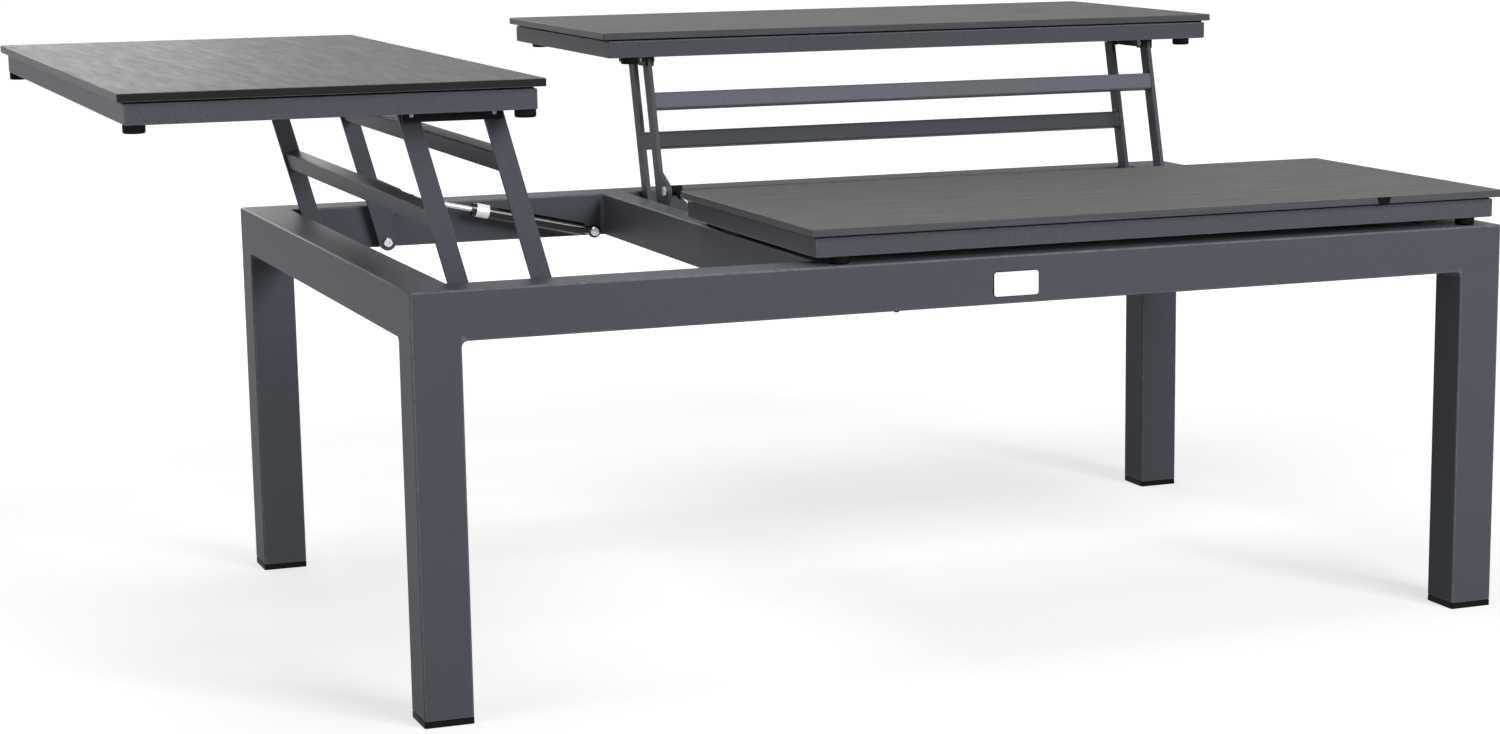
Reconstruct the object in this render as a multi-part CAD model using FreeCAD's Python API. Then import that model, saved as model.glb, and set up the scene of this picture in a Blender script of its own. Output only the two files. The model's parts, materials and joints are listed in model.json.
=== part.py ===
import FreeCAD, Part
import math
import os
from collections import namedtuple

# Flip-up lounge table, in millimetres. X runs to the right, Y to the rear and Z up,
# from the floor under the middle of the base frame. The left and the rear top stand
# raised here, and the front top is down.

# Base frame
frame_length = 1220.0
frame_width = 795.0
frame_height = 428.0
rail_size = 50.0
rail_wall = 2.0
rail_edge_radius = 2.0
cross_rail_inset = 21.0
cross_rail_width = 30.0
inner_rail_width = 20.0
weld_radius = 6.0
foot_cap_height = 6.0
foot_plug_depth = 20.0

# Blank plate on the front rail
badge_length = 50.0
badge_height = 25.0
badge_thickness = 1.0
badge_corner_radius = 3.0
badge_off_centre = 24.4
badge_below_top = 29.3

# Tops
left_top_width = 404.0
top_side_gap = 6.0
top_split_gap = 5.0
laminate_thickness = 8.0
subframe_inset = 7.0
split_edge_inset = 2.0
subframe_tube = 20.0
subframe_wall = 1.5
pad_width = 14.0
pad_thickness = 2.0
bumper_diameter = 21.0
bumper_height = 7.7
bumper_edge = 1.2
bumper_rest_gap = 0.3
stud_diameter = 6.0
stud_in_tube = 12.0
stud_in_bumper = 5.0

# Arms and cross bars
arm_width = 20.0
arm_thickness = 5.0
pivot_spacing = 82.0
left_pivot_to_rail = 27.5
right_pivot_to_rail = 23.5
raised_lean = 15.0
lower_pivot_above_rail_base = 7.0
upper_pivot_below_tube = 5.0
upper_pivot_to_tube = 9.5
arm_rail_gap = 10.5
arm_inner_rail_gap = 4.5
inner_bar_below_pivot = 51.0
outer_bar_below_pivot = 106.0
bar_along_size = 20.0
bar_back = 7.0
bar_front = 9.0
bar_wall = 1.5
bar_edge_radius = 2.5

# Pivot brackets under the tops
bracket_wall = 2.5
bracket_skirt = 12.0
bracket_ear_half = 12.0
bracket_outer_play = 0.5
bracket_inner_play = 0.75
bracket_end_gap = 0.5
bracket_crown_gap = 1.5
bracket_bar_gap = 2.0

# Pivots
rail_shoulder_diameter = 8.0
rail_thread_diameter = 6.0
rail_head_diameter = 11.0
rail_head_height = 3.0
bush_diameter = 12.0
bush_spigot_diameter = 9.0
bush_spigot_depth = 5.0
thread_overrun = 3.0
top_shoulder_diameter = 6.0
top_thread_diameter = 4.5
top_head_diameter = 9.0
top_head_height = 3.0
head_chamfer = 0.9
hex_key_size = 4.0
hex_key_depth = 1.6
side_play = 0.25

# Gas springs
ear_along = 50.0
ear_across = 26.0
ear_radius = 9.0
ear_foot_half = 34.0
left_spring_to_cross_rail = 20.5
right_spring_reach = 251.0
spring_lift = 1.0
cylinder_diameter = 15.0
cylinder_wall = 1.5
rod_out_closed = 43.2
cylinder_arm_gap = 1.0
collar_diameter = 16.0
collar_length = 9.0
eye_radius = 8.0
eye_thickness = 9.0
eye_neck_diameter = 9.0
eye_neck_length = 14.0
rod_diameter = 6.0
piston_length = 8.0
piston_setback = 12.0
socket_diameter = 13.0
socket_length = 12.0
socket_stem_diameter = 10.0
socket_stem_length = 18.0
socket_grip = 9.0
ball_diameter = 8.0
ball_neck_diameter = 5.0
ball_flange_diameter = 10.0
ball_flange_thickness = 2.0
ear_nut_diameter = 10.0
ear_nut_height = 3.0
ear_thread_diameter = 6.0

# Clearances
fit_play = 0.05
running_play = 0.3
cut_overrun = 1.0

# Direction shares
parallel_share = 0.99
mid_arc_share = math.sqrt(0.5)

Vector = FreeCAD.Vector
along_x = Vector(1, 0, 0)
along_y = Vector(0, 1, 0)
along_z = Vector(0, 0, 1)

# Levels and places worked out from the sizes above
frame_end = frame_length / 2
frame_side = frame_width / 2
rail_base = frame_height - rail_size
inner_end = frame_end - rail_size
inner_side = frame_side - rail_size
left_top_edge = left_top_width - frame_end
right_top_edge = left_top_edge + top_side_gap
cross_rail_left = right_top_edge + cross_rail_inset
cross_rail_right = cross_rail_left + cross_rail_width
inner_rail_left = inner_end - inner_rail_width
tube_base = frame_height + bumper_rest_gap + bumper_height
tube_top = tube_base + subframe_tube
laminate_base = tube_top + pad_thickness
lower_pivot_height = rail_base + lower_pivot_above_rail_base
upper_pivot_height = tube_base - upper_pivot_below_tube
closed_rise = upper_pivot_height - lower_pivot_height
raised_angle = 90.0 + raised_lean

# Depths across an end of a linkage, inwards from the outboard face of the inner arm
outer_flange_outside = -(bracket_outer_play + bracket_wall)
inner_flange_inside = arm_thickness + bracket_inner_play
inner_flange_outside = inner_flange_inside + bracket_wall
outer_arm_face = inner_flange_outside + bracket_inner_play
spring_layer = arm_thickness + cylinder_arm_gap + cylinder_diameter / 2

# Each flap is worked out as if it folds out to the left, then is turned about Z.
# The turn is in degrees. Its low and high ends are the rails at its lower and upper Y.
# pivot_x is the outer arms' pivot on the rails, and spring_x the gas spring's.
Flap = namedtuple("Flap", "name turn raised outer_edge inner_edge inner_inset low_edge "
                          "high_edge low_rail high_rail low_gap high_gap pivot_x spring_x "
                          "spring_end bumper_inset")

left_pivot_x = left_pivot_to_rail - inner_end
left_spring_x = cross_rail_left - left_spring_to_cross_rail
right_pivot_x = right_pivot_to_rail - inner_side
right_spring_x = right_pivot_x + pivot_spacing + right_spring_reach
right_bumper_inset = (cross_rail_left + cross_rail_right) / 2 - right_top_edge

left_flap = Flap("left", 0, True, -frame_end, left_top_edge, subframe_inset, -frame_side,
                 frame_side, -inner_side, inner_side, arm_rail_gap, arm_rail_gap,
                 left_pivot_x, left_spring_x, 1, subframe_inset + subframe_tube / 2)
rear_flap = Flap("rear", -90, True, -frame_side, -top_split_gap / 2, split_edge_inset,
                 right_top_edge, frame_end, cross_rail_right, inner_rail_left,
                 arm_rail_gap, arm_inner_rail_gap, right_pivot_x, right_spring_x, -1,
                 right_bumper_inset)
front_flap = Flap("front", 90, False, -frame_side, -top_split_gap / 2, split_edge_inset,
                  -frame_end, -right_top_edge, -inner_rail_left, -cross_rail_right,
                  arm_inner_rail_gap, arm_rail_gap, right_pivot_x, right_spring_x, -1,
                  right_bumper_inset)
flaps = (left_flap, rear_flap, front_flap)
ends = (-1, 1)


# General shapes

def box(low, high):
    size = high - low
    return Part.makeBox(size.x, size.y, size.z, low)


def cylinder(start, finish, diameter):
    run = finish - start
    return Part.makeCylinder(diameter / 2, run.Length, start, run)


def rounded_box(low, high, axis, radius):
    solid = box(low, high)
    edges = [edge for edge in solid.Edges
             if abs(edge.tangentAt(edge.FirstParameter).dot(axis)) > parallel_share]
    return solid.makeFillet(radius, edges)


def square_tube(low, high, axis, wall, radius, closed_ends):
    inset = Vector(wall, wall, wall)
    if not closed_ends:
        inset = inset - axis * (wall + cut_overrun)
    return rounded_box(low, high, axis, radius).cut(box(low + inset, high - inset))


def prism(points, rise):
    face = Part.Face(Part.makePolygon(points + points[:1]))
    return face.extrude(rise)


def hex_prism(centre, across_flats, run):
    start = run.cross(along_x)
    if start.Length < cut_overrun * fit_play:
        start = run.cross(along_y)
    start.normalize()
    start = start * (across_flats / math.sqrt(3))
    turns = [FreeCAD.Rotation(run, 60.0 * corner) for corner in range(6)]
    return prism([centre + turn.multVec(start) for turn in turns], run)


def spun(x, z, outline):
    """Turn an outline of (y, radius) points about the line along Y through (x, z)."""
    points = [Vector(x, y, z + radius) for y, radius in outline]
    face = Part.Face(Part.makePolygon(points + points[:1]))
    solid = face.revolve(Vector(x, 0, z), along_y, 360)
    if solid.Volume < 0:
        solid.reverse()
    return solid


def turned(shape, centre, axis, angle):
    shape = shape.copy()
    shape.rotate(centre, axis, angle)
    return shape


def moved(shape, step):
    shape = shape.copy()
    shape.translate(step)
    return shape


# Places on a flap

def depth(flap, end, inwards):
    """The Y of a plane at this depth, inwards from the inner arm's outboard face."""
    if end > 0:
        return flap.high_rail - flap.high_gap - inwards
    return flap.low_rail + flap.low_gap + inwards


def rail_depth(flap, end):
    return -flap.high_gap if end > 0 else -flap.low_gap


def between(flap, end, outside, inside):
    ys = [depth(flap, end, outside), depth(flap, end, inside)]
    return min(ys), max(ys)


def upper_pivot_x(flap, outer):
    inner = flap.inner_edge - flap.inner_inset - subframe_tube - upper_pivot_to_tube
    return inner - pivot_spacing if outer else inner


def lower_pivot_x(flap, outer):
    return flap.pivot_x if outer else flap.pivot_x + pivot_spacing


# Arms of a flap: their angles are from level, pointing inwards

def closed_reach(flap):
    return upper_pivot_x(flap, True) - lower_pivot_x(flap, True)


def arm_length(flap):
    return math.hypot(closed_reach(flap), closed_rise)


def arm_angle(flap, raised):
    return raised_angle if raised else math.degrees(math.atan2(closed_rise, closed_reach(flap)))


def top_travel(flap):
    """How far a top goes as it rises, outwards and up."""
    lean = math.radians(raised_lean)
    reach = -arm_length(flap) * math.sin(lean)
    rise = arm_length(flap) * math.cos(lean)
    return Vector(reach - closed_reach(flap), 0, rise - closed_rise)


def on_flap(flap, shape):
    return turned(shape, Vector(0, 0, 0), along_z, flap.turn)


def with_top(flap, shape):
    """Lift a piece of the top from its closed place to the place shown."""
    return moved(shape, top_travel(flap)) if flap.raised else shape


def with_arms(flap, shape, outer):
    """Swing a piece drawn along X, with the fold side down, about its lower pivot."""
    swung = turned(shape, Vector(0, 0, 0), along_y, -arm_angle(flap, flap.raised))
    return moved(swung, Vector(lower_pivot_x(flap, outer), 0, lower_pivot_height))


# Turned fasteners, given as (depth, diameter) steps across one end of a flap

def turned_piece(flap, end, x, z, steps, bore=0.0):
    radii = [(depth(flap, end, inwards), diameter / 2) for inwards, diameter in steps]
    first, last = steps[0][0], steps[-1][0]
    outline = [(depth(flap, end, first), bore / 2)] + radii
    outline = outline + [(depth(flap, end, last), bore / 2)]
    return spun(x, z, outline)


def bolt(flap, end, x, z, tail, shoulder, head, thread_size, shoulder_size, head_size, height):
    top = head + height
    steps = [(tail, thread_size), (shoulder, thread_size), (shoulder, shoulder_size),
             (head, shoulder_size), (head, head_size), (top - head_chamfer, head_size),
             (top, head_size - 2 * head_chamfer)]
    solid = turned_piece(flap, end, x, z, steps)
    start = Vector(x, depth(flap, end, top - hex_key_depth), z)
    finish = Vector(x, depth(flap, end, top + cut_overrun), z)
    return solid.cut(hex_prism(start, hex_key_size, finish - start))


# Base frame

def make_rails():
    closed = True
    lying = [
        ("front_rail", Vector(-frame_end, -frame_side, rail_base),
         Vector(frame_end, -inner_side, frame_height), along_x, closed),
        ("rear_rail", Vector(-frame_end, inner_side, rail_base),
         Vector(frame_end, frame_side, frame_height), along_x, closed),
        ("left_rail", Vector(-frame_end, -inner_side, rail_base),
         Vector(-inner_end, inner_side, frame_height), along_y, not closed),
        ("right_rail", Vector(inner_end, -inner_side, rail_base),
         Vector(frame_end, inner_side, frame_height), along_y, not closed),
        ("cross_rail", Vector(cross_rail_left, -inner_side, rail_base),
         Vector(cross_rail_right, inner_side, frame_height), along_y, not closed),
        ("right_inner_rail", Vector(inner_rail_left, -inner_side, rail_base),
         Vector(inner_end, inner_side, frame_height), along_y, not closed)]
    holes = Part.makeCompound([hole for flap in flaps for hole in spigot_holes(flap)])
    rails = {}
    for name, low, high, axis, ends_closed in lying:
        tube = square_tube(low, high, axis, rail_wall, rail_edge_radius, ends_closed)
        rails[name] = [tube.cut(holes)]
    return rails


def cove(low_y, high_y):
    """A weld bead in the corner at the origin, below the rail and beside the leg."""
    middle = weld_radius * (1 - mid_arc_share)
    ends_of_arc = [Vector(weld_radius, low_y, 0), Vector(0, low_y, -weld_radius)]
    arc = Part.Arc(ends_of_arc[0], Vector(middle, low_y, -middle), ends_of_arc[1])
    corner = Vector(0, low_y, 0)
    lines = [Part.LineSegment(ends_of_arc[1], corner), Part.LineSegment(corner, ends_of_arc[0])]
    outline = Part.Wire([curve.toShape() for curve in [arc] + lines])
    return Part.Face(outline).extrude(Vector(0, high_y - low_y, 0))


def leg_at_origin():
    """The rear right leg's shape, with its inner corner on the Z axis, facing -X and -Y."""
    low = Vector(0, 0, foot_cap_height)
    leg = square_tube(low, Vector(rail_size, rail_size, rail_base), along_z,
                      rail_wall, rail_edge_radius, False)
    bead = cove(rail_edge_radius, rail_size - rail_edge_radius)
    bead_x = turned(bead, Vector(0, 0, 0), along_z, 180)
    bead_x = moved(bead_x, Vector(0, rail_size, rail_base))
    bead_y = turned(bead, Vector(0, 0, 0), along_z, -90)
    bead_y = moved(bead_y, Vector(0, 0, rail_base))
    return leg.fuse([bead_x, bead_y]).removeSplitter()


def foot_cap_at_origin():
    cap = rounded_box(Vector(0, 0, 0), Vector(rail_size, rail_size, foot_cap_height),
                      along_z, rail_edge_radius)
    inset = rail_wall + fit_play
    plug = box(Vector(inset, inset, foot_cap_height),
               Vector(rail_size - inset, rail_size - inset, foot_cap_height + foot_plug_depth))
    hollow = inset + rail_wall
    core = box(Vector(hollow, hollow, foot_cap_height),
               Vector(rail_size - hollow, rail_size - hollow,
                      foot_cap_height + foot_plug_depth + cut_overrun))
    return cap.fuse(plug.cut(core)).removeSplitter()


def make_legs():
    names = ["rear_right_leg", "rear_left_leg", "front_left_leg", "front_right_leg"]
    corners = [Vector(inner_end, inner_side, 0), Vector(-inner_end, inner_side, 0),
               Vector(-inner_end, -inner_side, 0), Vector(inner_end, -inner_side, 0)]
    made = {"foot_caps": []}
    for quarter, name in enumerate(names):
        leg = turned(leg_at_origin(), Vector(0, 0, 0), along_z, 90 * quarter)
        cap = turned(foot_cap_at_origin(), Vector(0, 0, 0), along_z, 90 * quarter)
        made[name] = [moved(leg, corners[quarter])]
        made["foot_caps"].append(moved(cap, corners[quarter]))
    return made


def make_badge_plate():
    centre = Vector(badge_off_centre, -frame_side, frame_height - badge_below_top)
    half = Vector(badge_length / 2, 0, badge_height / 2)
    return [rounded_box(centre - half - Vector(0, badge_thickness, 0), centre + half,
                        along_y, badge_corner_radius)]


# Pivots on the rails

def arm_pivots(flap):
    """End, X, height and depth of each moving plate's outboard face, on the rails."""
    return [(end, lower_pivot_x(flap, outer), outer_arm_face if outer else 0.0)
            for end in ends for outer in (False, True)]


def spring_pivot_height():
    return lower_pivot_height + spring_lift


def eye_face():
    return spring_layer - eye_thickness / 2


def spigot_holes(flap):
    places = [(end, x, lower_pivot_height) for end, x, face in arm_pivots(flap)]
    places.append((flap.spring_end, flap.spring_x, spring_pivot_height()))
    holes = []
    for end, x, z in places:
        wall = rail_depth(flap, end)
        steps = [wall - rail_wall - cut_overrun, wall + cut_overrun]
        start, finish = [Vector(x, depth(flap, end, step), z) for step in steps]
        hole = cylinder(start, finish, bush_spigot_diameter + 2 * fit_play)
        holes.append(on_flap(flap, hole))
    return holes


def bush(flap, end, x, z, face):
    wall = rail_depth(flap, end)
    steps = [(wall - bush_spigot_depth, bush_spigot_diameter), (wall, bush_spigot_diameter),
             (wall, bush_diameter), (face - side_play, bush_diameter)]
    piece = turned_piece(flap, end, x, z, steps, rail_thread_diameter + 2 * fit_play)
    return on_flap(flap, piece)


def rail_bolt(flap, end, x, z, face, thickness):
    tail = rail_depth(flap, end) - bush_spigot_depth - thread_overrun
    piece = bolt(flap, end, x, z, tail, face - side_play, face + thickness + side_play,
                 rail_thread_diameter, rail_shoulder_diameter, rail_head_diameter,
                 rail_head_height)
    return on_flap(flap, piece)


def make_rail_pivots():
    made = {"rail_pivot_bolts": [], "rail_pivot_bushes": [], "gas_spring_bolts": []}
    for flap in flaps:
        for end, x, face in arm_pivots(flap):
            made["rail_pivot_bushes"].append(bush(flap, end, x, lower_pivot_height, face))
            made["rail_pivot_bolts"].append(
                rail_bolt(flap, end, x, lower_pivot_height, face, arm_thickness))
        place = (flap, flap.spring_end, flap.spring_x, spring_pivot_height(), eye_face())
        made["rail_pivot_bushes"].append(bush(*place))
        made["gas_spring_bolts"].append(rail_bolt(*place, eye_thickness))
    return made


# Top, its subframe, pads and bumpers

def make_laminate(flap):
    return [box(Vector(flap.outer_edge, flap.low_edge, laminate_base),
                Vector(flap.inner_edge, flap.high_edge, laminate_base + laminate_thickness))]


def subframe_bounds(flap):
    low = Vector(flap.outer_edge + subframe_inset, flap.low_edge + subframe_inset, tube_base)
    high = Vector(flap.inner_edge - flap.inner_inset, flap.high_edge - subframe_inset, tube_top)
    return low, high


def ring_corners(low, high, inset, z):
    return [Vector(low.x + inset, low.y + inset, z), Vector(high.x - inset, low.y + inset, z),
            Vector(high.x - inset, high.y - inset, z), Vector(low.x + inset, high.y - inset, z)]


def mitred_sides(low, high, outside, inside, base, top):
    """Four straight sides of a ring, mitred at the corners."""
    outer = ring_corners(low, high, outside, base)
    inner = ring_corners(low, high, inside, base)
    sides = []
    for side in range(4):
        following = (side + 1) % 4
        points = [outer[side], outer[following], inner[following], inner[side]]
        sides.append(prism(points, Vector(0, 0, top - base)))
    return sides


def carrier_tubes(flap):
    """Cross tubes between the long tubes, which carry the pivot brackets."""
    low, high = subframe_bounds(flap)
    tubes = []
    for end in ends:
        outside = outer_flange_outside - subframe_tube
        y_low, y_high = between(flap, end, outside, outer_flange_outside)
        tubes.append(square_tube(Vector(low.x + subframe_tube, y_low, tube_base),
                                 Vector(high.x - subframe_tube, y_high, tube_top),
                                 along_x, subframe_wall, subframe_wall, False))
    return tubes


def bumper_places(flap):
    low, high = subframe_bounds(flap)
    half = subframe_tube / 2
    return [Vector(x, y, tube_base) for x in (low.x + half, high.x - half)
            for y in (flap.low_edge + flap.bumper_inset, flap.high_edge - flap.bumper_inset)]


def make_subframe(flap):
    low, high = subframe_bounds(flap)
    solid = mitred_sides(low, high, 0.0, subframe_tube, tube_base, tube_top)
    hollow = mitred_sides(low, high, subframe_wall, subframe_tube - subframe_wall,
                          tube_base + subframe_wall, tube_top - subframe_wall)
    size = stud_diameter + 2 * fit_play
    overrun = Vector(0, 0, cut_overrun)
    holes = [cylinder(place - overrun, place + overrun + Vector(0, 0, subframe_wall), size)
             for place in bumper_places(flap)]
    tubes = [tube.cut(core).cut(Part.makeCompound(holes)) for tube, core in zip(solid, hollow)]
    return tubes + carrier_tubes(flap)


def make_pads(flap):
    low, high = subframe_bounds(flap)
    edge = (subframe_tube - pad_width) / 2
    return mitred_sides(low, high, edge, edge + pad_width, tube_top, laminate_base)


def make_bumpers(flap):
    bumpers = []
    for place in bumper_places(flap):
        base = place - Vector(0, 0, bumper_height)
        solid = cylinder(base, place, bumper_diameter)
        rim = min(solid.Edges, key=lambda edge: edge.CenterOfMass.z)
        solid = solid.makeChamfer(bumper_edge, [rim])
        size = stud_diameter + 2 * fit_play
        bore = cylinder(place - Vector(0, 0, stud_in_bumper), place + along_z * cut_overrun, size)
        bumpers.append(solid.cut(bore))
    return bumpers


def make_bumper_studs(flap):
    depth_in = Vector(0, 0, stud_in_bumper)
    height_in = Vector(0, 0, stud_in_tube)
    return [cylinder(place - depth_in, place + height_in, stud_diameter)
            for place in bumper_places(flap)]


# Pivot brackets

def relief_height(flap):
    """How high the closed inner cross bar reaches, with its gap."""
    angle = math.radians(arm_angle(flap, False))
    back_along = inner_bar_below_pivot - bar_along_size / 2
    corner = bar_back * math.cos(angle) - back_along * math.sin(angle)
    return upper_pivot_height + corner + bracket_bar_gap


def make_brackets(flap):
    inner_x, outer_x = upper_pivot_x(flap, False), upper_pivot_x(flap, True)
    reach = upper_pivot_to_tube - bracket_end_gap
    low_z, under = tube_base - bracket_skirt, upper_pivot_height + arm_width / 2 + bracket_crown_gap
    low_x, high_x = outer_x - reach, inner_x + reach
    brackets = []
    for end in ends:
        y_low, y_high = between(flap, end, outer_flange_outside, inner_flange_outside)
        channel = box(Vector(low_x, y_low, low_z), Vector(high_x, y_high, under + bracket_wall))
        y_low, y_high = between(flap, end, -bracket_outer_play, inner_flange_inside)
        channel = channel.cut(box(Vector(low_x - cut_overrun, y_low, low_z - cut_overrun),
                                  Vector(high_x + cut_overrun, y_high, under)))
        y_low, y_high = between(flap, end, arm_thickness, inner_flange_outside + cut_overrun)
        relief = box(Vector(outer_x + bracket_ear_half, y_low, low_z - cut_overrun),
                     Vector(inner_x - bracket_ear_half, y_high, relief_height(flap)))
        channel = channel.cut(relief)
        for x in (inner_x, outer_x):
            channel = channel.cut(bracket_bore(flap, end, x))
        brackets.append(channel)
    return brackets


def bracket_bore(flap, end, x):
    steps = [(outer_flange_outside - cut_overrun, top_thread_diameter + 2 * fit_play),
             (-bracket_outer_play, top_thread_diameter + 2 * fit_play),
             (-bracket_outer_play, top_shoulder_diameter + 2 * fit_play),
             (inner_flange_outside + cut_overrun, top_shoulder_diameter + 2 * fit_play)]
    return turned_piece(flap, end, x, upper_pivot_height, steps)


def make_upper_bolts(flap):
    bolts = []
    for end in ends:
        for outer in (False, True):
            head = inner_flange_outside
            if outer:
                head = outer_arm_face + arm_thickness + side_play
            tail = outer_flange_outside - 2 * head_chamfer
            bolts.append(bolt(flap, end, upper_pivot_x(flap, outer), upper_pivot_height,
                              tail, -bracket_outer_play, head, top_thread_diameter,
                              top_shoulder_diameter, top_head_diameter, top_head_height))
    return bolts


# Arms and cross bars, drawn along X from the lower pivot with the fold side down

def stadium(length, y_low, y_high):
    radius = arm_width / 2
    lower = [Vector(0, y_low, -radius), Vector(length, y_low, -radius)]
    upper = [Vector(0, y_low, radius), Vector(length, y_low, radius)]
    round_end = Part.Arc(lower[1], Vector(length + radius, y_low, 0), upper[1])
    round_start = Part.Arc(upper[0], Vector(-radius, y_low, 0), lower[0])
    lines = [Part.LineSegment(lower[0], lower[1]), Part.LineSegment(upper[1], upper[0])]
    curves = [lines[0], round_end, lines[1], round_start]
    outline = Part.Wire([curve.toShape() for curve in curves])
    return Part.Face(outline).extrude(Vector(0, y_high - y_low, 0))


def ear(y_low, y_high):
    """The plate that carries the gas spring, tapered to a round end about its pin."""
    foot = ear_foot_half
    rise = ear_across
    reach = math.hypot(foot, rise)
    lean = math.atan2(rise, foot) + math.asin(ear_radius / reach)
    side = Vector(ear_radius * math.sin(lean), 0, -ear_radius * math.cos(lean))
    pin = Vector(ear_along, y_low, -ear_across)
    left_side = pin + Vector(-side.x, 0, side.z)
    right_side = pin + side
    nose = pin - Vector(0, 0, ear_radius)
    left_foot = Vector(ear_along - foot, y_low, 0)
    right_foot = Vector(ear_along + foot, y_low, 0)
    curves = [Part.LineSegment(left_foot, left_side), Part.Arc(left_side, nose, right_side),
              Part.LineSegment(right_side, right_foot), Part.LineSegment(right_foot, left_foot)]
    outline = Part.Wire([curve.toShape() for curve in curves])
    return Part.Face(outline).extrude(Vector(0, y_high - y_low, 0))


def arm(flap, end, outer):
    face = outer_arm_face if outer else 0.0
    y_low, y_high = between(flap, end, face, face + arm_thickness)
    length = arm_length(flap)
    plate = stadium(length, y_low, y_high)
    bores = [(0.0, 0.0, rail_shoulder_diameter), (length, 0.0, top_shoulder_diameter)]
    if end == flap.spring_end and not outer:
        plate = plate.fuse(ear(y_low, y_high)).removeSplitter()
        bores.append((ear_along, -ear_across, ear_thread_diameter))
    for x, z, size in bores:
        start = Vector(x, y_low - cut_overrun, z)
        finish = Vector(x, y_high + cut_overrun, z)
        plate = plate.cut(cylinder(start, finish, size + 2 * fit_play))
    return with_arms(flap, plate, outer)


def make_arms(flap, outer):
    return [arm(flap, end, outer) for end in ends]


def make_cross_bar(flap, outer):
    face = arm_thickness + (outer_arm_face if outer else 0.0)
    along = arm_length(flap) - (outer_bar_below_pivot if outer else inner_bar_below_pivot)
    half = bar_along_size / 2
    low = Vector(along - half, depth(flap, ends[0], face), -bar_front)
    high = Vector(along + half, depth(flap, ends[1], face), bar_back)
    tube = square_tube(low, high, along_y, bar_wall, bar_edge_radius, False)
    return [with_arms(flap, tube, outer)]


# Gas spring, drawn along X from its base pivot

def ear_pin(angle):
    """The ear's pin at an arm angle, from the lower inner pivot."""
    turn = math.radians(angle)
    return Vector(ear_along * math.cos(turn) + ear_across * math.sin(turn), 0,
                  ear_along * math.sin(turn) - ear_across * math.cos(turn))


def spring_run(flap, raised):
    """From the spring's base pivot to the ear's pin."""
    base = Vector(flap.spring_x - lower_pivot_x(flap, False), 0, spring_lift)
    return ear_pin(arm_angle(flap, raised)) - base


def spring_tilt(flap, raised):
    run = spring_run(flap, raised)
    return math.degrees(math.atan2(run.z, -run.x))


def spring_stroke(flap):
    return spring_run(flap, True).Length - spring_run(flap, False).Length


def cylinder_reach(flap):
    """From the base pivot to the end of the collar that the rod comes out of."""
    return spring_run(flap, False).Length - rod_out_closed


def with_spring(flap, shape, run_length=0.0):
    """Point a piece drawn along X at the ear's pin, at run_length from the base pivot."""
    base = Vector(flap.spring_x, 0, spring_pivot_height())
    shape = moved(shape, Vector(run_length, 0, 0))
    shape = turned(shape, Vector(0, 0, 0), along_z, 180)
    shape = turned(shape, Vector(0, 0, 0), along_y, spring_tilt(flap, flap.raised))
    return moved(shape, base)


def spring_y(flap):
    return depth(flap, flap.spring_end, spring_layer)


def spring_length(flap):
    return spring_run(flap, flap.raised).Length


def centred(flap, shape):
    """Move a spring piece, drawn and turned about Y zero, to the spring's layer."""
    return moved(shape, Vector(0, spring_y(flap), 0))


def make_cylinder(flap):
    tube_start = Vector(eye_neck_length, 0, 0)
    tube_end = Vector(cylinder_reach(flap), 0, 0)
    collar_start = tube_end - along_x * collar_length
    bore_start = Vector(eye_neck_length + cylinder_wall, 0, 0)
    half_eye = Vector(0, eye_thickness / 2, 0)
    eye = cylinder(half_eye * -1, half_eye, 2 * eye_radius)
    body = eye.fuse([cylinder(Vector(0, 0, 0), bore_start, eye_neck_diameter),
                     cylinder(tube_start, tube_end, cylinder_diameter),
                     cylinder(collar_start, tube_end, collar_diameter)])
    bore = cylinder(bore_start, collar_start, cylinder_diameter - 2 * cylinder_wall)
    guide_end = tube_end + along_x * cut_overrun
    guide = cylinder(collar_start, guide_end, rod_diameter + 2 * fit_play)
    pin_hole = cylinder(half_eye * -2, half_eye * 2, rail_shoulder_diameter + 2 * fit_play)
    return [centred(flap, with_spring(flap, body.cut([bore, guide, pin_hole])))]


def make_rod(flap):
    """The rod and its piston, drawn from the ear's pin back towards the base pivot."""
    raised_length = spring_run(flap, True).Length
    piston_front = cylinder_reach(flap) - collar_length - piston_setback - raised_length
    start = Vector(piston_front, 0, 0)
    rod = cylinder(start, Vector(-socket_grip, 0, 0), rod_diameter)
    piston_size = cylinder_diameter - 2 * (cylinder_wall + running_play)
    piston = cylinder(start - along_x * piston_length, start, piston_size)
    solid = rod.fuse(piston).removeSplitter()
    return [centred(flap, with_spring(flap, solid, spring_length(flap)))]


def socket_and_ball(flap):
    """Drawn about the ear's pin, with the ear on the side that the spring's end faces."""
    outboard = Vector(0, flap.spring_end, 0)
    ear_plane = outboard * (spring_layer - arm_thickness - running_play)
    half = outboard * (socket_length / 2)
    housing = cylinder(half, half * -1, socket_diameter)
    stem = cylinder(Vector(-socket_stem_length, 0, 0), Vector(0, 0, 0), socket_stem_diameter)
    cup_size = ball_diameter + 2 * running_play
    cup = cylinder(outboard * (socket_length / 2 + cut_overrun), Vector(0, 0, 0), cup_size)
    bowl = Part.makeSphere(cup_size / 2)
    grip = cylinder(Vector(-socket_stem_length - cut_overrun, 0, 0), Vector(-socket_grip, 0, 0),
                    rod_diameter + 2 * fit_play)
    housing = housing.fuse(stem).cut([cup, bowl, grip]).removeSplitter()
    flange_end = ear_plane - outboard * ball_flange_thickness
    flange = hex_prism(flange_end, ball_flange_diameter, ear_plane - flange_end)
    neck = cylinder(Vector(0, 0, 0), flange_end, ball_neck_diameter)
    ball = Part.makeSphere(ball_diameter / 2).fuse([neck, flange]).removeSplitter()
    return [housing, ball]


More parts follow.
